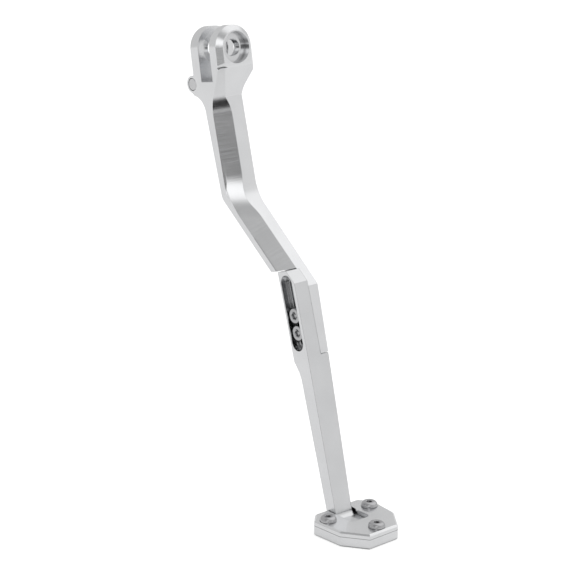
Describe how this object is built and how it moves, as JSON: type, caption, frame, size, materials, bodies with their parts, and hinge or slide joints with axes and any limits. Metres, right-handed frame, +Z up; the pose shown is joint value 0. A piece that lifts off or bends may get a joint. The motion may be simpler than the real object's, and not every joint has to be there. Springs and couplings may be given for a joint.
{
  "type": "adjustable motorbike side stand with foot enlarger",
  "caption": "Motorbike side stand in silver aluminium: a clevis on top, a bent leg whose lower length slides and clamps, and a wide foot that spreads the load on soft ground",
  "frame": {"origin": "middle of the pivot bore, half way across the clevis gap", "axes": "+Z up as the stand stands with its foot flat on the ground; the leg lies in the X-Z plane and leans away towards +X; -Y is the front face with the screw pocket"},
  "size_m": [0.1645, 0.0456, 0.2685],
  "materials": {
    "leg_aluminium": "fine blasted, clear anodised, brushed along the big chamfer",
    "lower_leg_aluminium": "fine blasted, clear anodised",
    "foot_aluminium": "fine blasted, clear anodised, milled edges",
    "screw_steel": "polished stainless",
    "post_steel": "turned stainless"
  },
  "bodies": {
    "upper": {"upper_leg": "leg_aluminium", "spring_post": "post_steel", "clamp_screw_upper": "screw_steel", "clamp_screw_lower": "screw_steel"},
    "lower": {"lower_leg": "lower_leg_aluminium", "foot_top_plate": "foot_aluminium", "foot_base_plate": "foot_aluminium", "foot_screw_left": "screw_steel", "foot_screw_right": "screw_steel", "foot_screw_front": "screw_steel"}
  },
  "joints": [
    {"name": "length_adjust", "type": "slide", "parent": "upper", "child": "lower", "axis": [0.284, 0, -0.9588], "range_m": [0, 0.018]}
  ]
}
